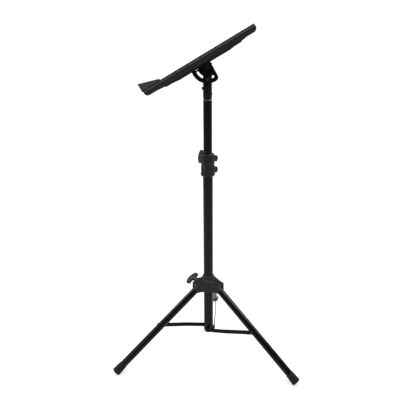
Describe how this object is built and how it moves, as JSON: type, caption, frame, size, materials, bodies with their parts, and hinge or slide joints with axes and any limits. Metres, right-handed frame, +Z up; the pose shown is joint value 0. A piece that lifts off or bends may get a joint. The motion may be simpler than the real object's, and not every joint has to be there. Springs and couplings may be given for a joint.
{
  "type": "tilting desk tripod stand",
  "caption": "Height-adjustable folding tripod stand with a flat rectangular desk on a tilting bracket and a low retaining lip along its lower edge.",
  "frame": {"origin": "on the mast's axis at floor level, between the feet", "axes": "+Z up the mast, +X towards the desk's high edge, Y along the desk's tilt hinge"},
  "size_m": [0.5693, 0.5509, 1.0066],
  "materials": {
    "tube_black": "satin black powder coat",
    "sheet_black": "satin black paint",
    "steel_black": "black oxide",
    "moulding_black": "fine texture",
    "knob_grey": "fine texture",
    "tray_black": "fine texture",
    "panel_black": "satin",
    "lip_black": "satin black paint",
    "bush_nylon": "plain",
    "foot_rubber": "matt"
  },
  "bodies": {
    "mast": {"lower_tube": "tube_black", "lower_tube_plug": "moulding_black", "strut_bracket": "sheet_black", "strut_bracket_pins": "steel_black", "strut_bracket_screw": "steel_black", "clamp_collar": "moulding_black", "clamp_nuts": "steel_black", "clamp_fixed_bolt": "steel_black"},
    "height_knob": {"height_knob": "knob_grey", "height_knob_bolt": "steel_black"},
    "hub": {"hub_body": "moulding_black", "hub_bush": "bush_nylon", "leg_hinge_pins": "steel_black"},
    "hub_knob": {"hub_knob": "knob_grey", "hub_knob_bolt": "steel_black"},
    "slider": {"guide_bush": "bush_nylon"},
    "upper": {"upper_tube": "tube_black", "neck_spigot": "tube_black", "neck_tube": "tube_black", "neck_screw": "steel_black", "neck_rivets": "steel_black", "tilt_pivot_bolt": "steel_black", "tilt_pivot_nut": "steel_black", "tilt_clamp_bolt": "steel_black", "tilt_washers": "steel_black"},
    "tilt_knob": {"tilt_knob": "knob_grey"},
    "desk": {"tilt_bracket": "sheet_black", "bracket_screws": "steel_black", "tray_frame": "tray_black", "top_panel": "panel_black", "retaining_lip": "lip_black", "lip_screws": "steel_black"},
    "leg_1": {"leg_tube_1": "tube_black", "leg_knuckle_1": "moulding_black", "foot_cap_1": "foot_rubber"},
    "strut_1": {"strut_1": "sheet_black", "strut_rivet_1": "steel_black"},
    "leg_2": {"leg_tube_2": "tube_black", "leg_knuckle_2": "moulding_black", "foot_cap_2": "foot_rubber"},
    "strut_2": {"strut_2": "sheet_black", "strut_rivet_2": "steel_black"},
    "leg_3": {"leg_tube_3": "tube_black", "leg_knuckle_3": "moulding_black", "foot_cap_3": "foot_rubber"},
    "strut_3": {"strut_3": "sheet_black", "strut_rivet_3": "steel_black"}
  },
  "joints": [
    {"name": "hub_slide", "type": "slide", "parent": "mast", "child": "hub", "axis": [0, 0, 1], "range_m": [0, 0.184]},
    {"name": "height_slide", "type": "slide", "parent": "mast", "child": "slider", "axis": [0, 0, 1], "range_m": [-0.15, 0.25]},
    {"name": "mast_swivel", "type": "hinge", "parent": "slider", "child": "upper", "pos_m": [0, 0, 0.3], "axis": [0, 0, 1], "continuous": true},
    {"name": "desk_tilt", "type": "hinge", "parent": "upper", "child": "desk", "pos_m": [0, 0, 0.916], "axis": [0, -1, 0], "range_deg": [-28, 55]},
    {"name": "height_knob_turn", "type": "hinge", "parent": "mast", "child": "height_knob", "pos_m": [-0.00225, 0.02735, 0.653], "axis": [-0.848, 0.5299, 0], "range_deg": [0, 360]},
    {"name": "hub_knob_turn", "type": "hinge", "parent": "hub", "child": "hub_knob", "pos_m": [-0.03165, 0.02175, 0.244], "axis": [-0.8241, 0.5664, 0], "range_deg": [0, 360]},
    {"name": "tilt_knob_turn", "type": "hinge", "parent": "upper", "child": "tilt_knob", "pos_m": [0, 0.0175, 0.884], "axis": [0, 1, 0], "range_deg": [0, 360]},
    {"name": "leg_fold_1", "type": "hinge", "parent": "hub", "child": "leg_1", "pos_m": [-0.0343, -0.01636, 0.2365], "axis": [0.4305, -0.9026, 0], "range_deg": [0, 51.2]},
    {"name": "strut_fold_1", "type": "hinge", "parent": "mast", "child": "strut_1", "pos_m": [-0.00271, -0.00129, 0.081], "axis": [-0.4305, 0.9026, 0], "range_deg": [0, 62.2]},
    {"name": "leg_fold_2", "type": "hinge", "parent": "hub", "child": "leg_2", "pos_m": [0.03132, -0.02152, 0.2365], "axis": [0.5664, 0.8241, 0], "range_deg": [0, 51.2]},
    {"name": "strut_fold_2", "type": "hinge", "parent": "mast", "child": "strut_2", "pos_m": [0.00247, -0.0017, 0.081], "axis": [-0.5664, -0.8241, 0], "range_deg": [0, 62.2]},
    {"name": "leg_fold_3", "type": "hinge", "parent": "hub", "child": "leg_3", "pos_m": [0.00298, 0.03788, 0.2365], "axis": [-0.9969, 0.0785, 0], "range_deg": [0, 51.2]},
    {"name": "strut_fold_3", "type": "hinge", "parent": "mast", "child": "strut_3", "pos_m": [0.00023, 0.00299, 0.081], "axis": [0.9969, -0.0785, 0], "range_deg": [0, 62.2]}
  ],
  "couplings": [
    {"joint": "leg_fold_1", "follows": "hub_slide", "rad_per_m": 4.8403},
    {"joint": "strut_fold_1", "follows": "hub_slide", "rad_per_m": 5.8712},
    {"joint": "leg_fold_2", "follows": "hub_slide", "rad_per_m": 4.8403},
    {"joint": "strut_fold_2", "follows": "hub_slide", "rad_per_m": 5.8712},
    {"joint": "leg_fold_3", "follows": "hub_slide", "rad_per_m": 4.8403},
    {"joint": "strut_fold_3", "follows": "hub_slide", "rad_per_m": 5.8712}
  ]
}
